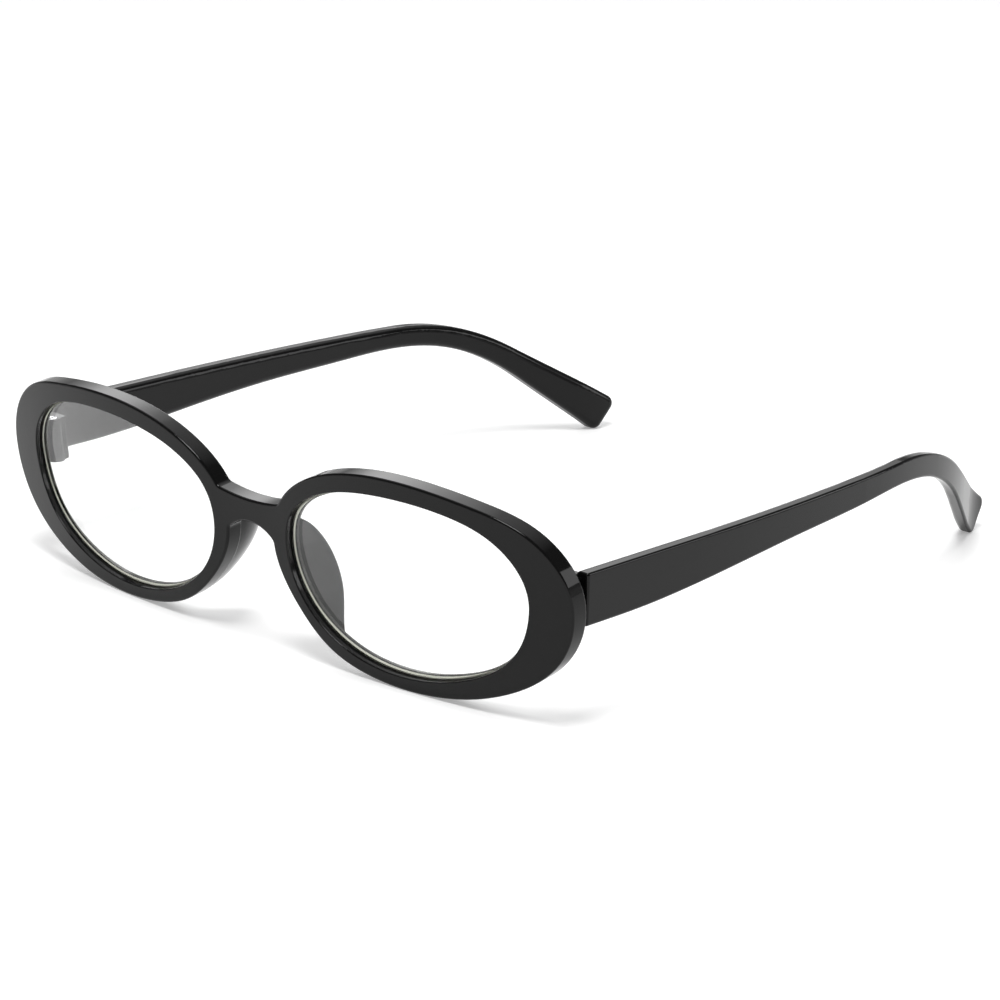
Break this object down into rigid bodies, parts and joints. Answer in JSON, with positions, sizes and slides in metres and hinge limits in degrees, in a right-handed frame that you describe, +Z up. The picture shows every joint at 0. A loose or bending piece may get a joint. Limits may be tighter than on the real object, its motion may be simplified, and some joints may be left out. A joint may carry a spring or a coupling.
{
  "type": "oval eyeglasses",
  "caption": "Oval full-rim eyeglasses with clear lenses, moulded nose pads and temples that fold on screw-pinned hinges.",
  "frame": {"origin": "on the floor under the middle of the opened glasses, which stand on their lower rims and temple tips", "axes": "X runs across with the wearer's left at +X, the front looks along -Y, the temples run back along +Y, Z is up"},
  "size_m": [0.142, 0.1584, 0.0398],
  "materials": {
    "frame_front": "polished",
    "lens_left": "clear",
    "lens_right": "clear",
    "temple_left": "polished",
    "temple_right": "polished",
    "hinge_screw_left": "polished",
    "hinge_screw_right": "polished"
  },
  "bodies": {
    "front": {"frame_front": "frame_front", "lens_left": "lens_left", "lens_right": "lens_right"},
    "temple_left_body": {"temple_left": "temple_left", "hinge_screw_left": "hinge_screw_left"},
    "temple_right_body": {"temple_right": "temple_right", "hinge_screw_right": "hinge_screw_right"}
  },
  "joints": [
    {"name": "fold_left", "type": "hinge", "parent": "front", "child": "temple_left_body", "pos_m": [0.0634, -0.06641, 0.02351], "axis": [0, -0.1253, 0.9921], "range_deg": [0, 87]},
    {"name": "fold_right", "type": "hinge", "parent": "front", "child": "temple_right_body", "pos_m": [-0.0634, -0.06641, 0.02351], "axis": [0, 0.1253, -0.9921], "range_deg": [0, 81]}
  ]
}
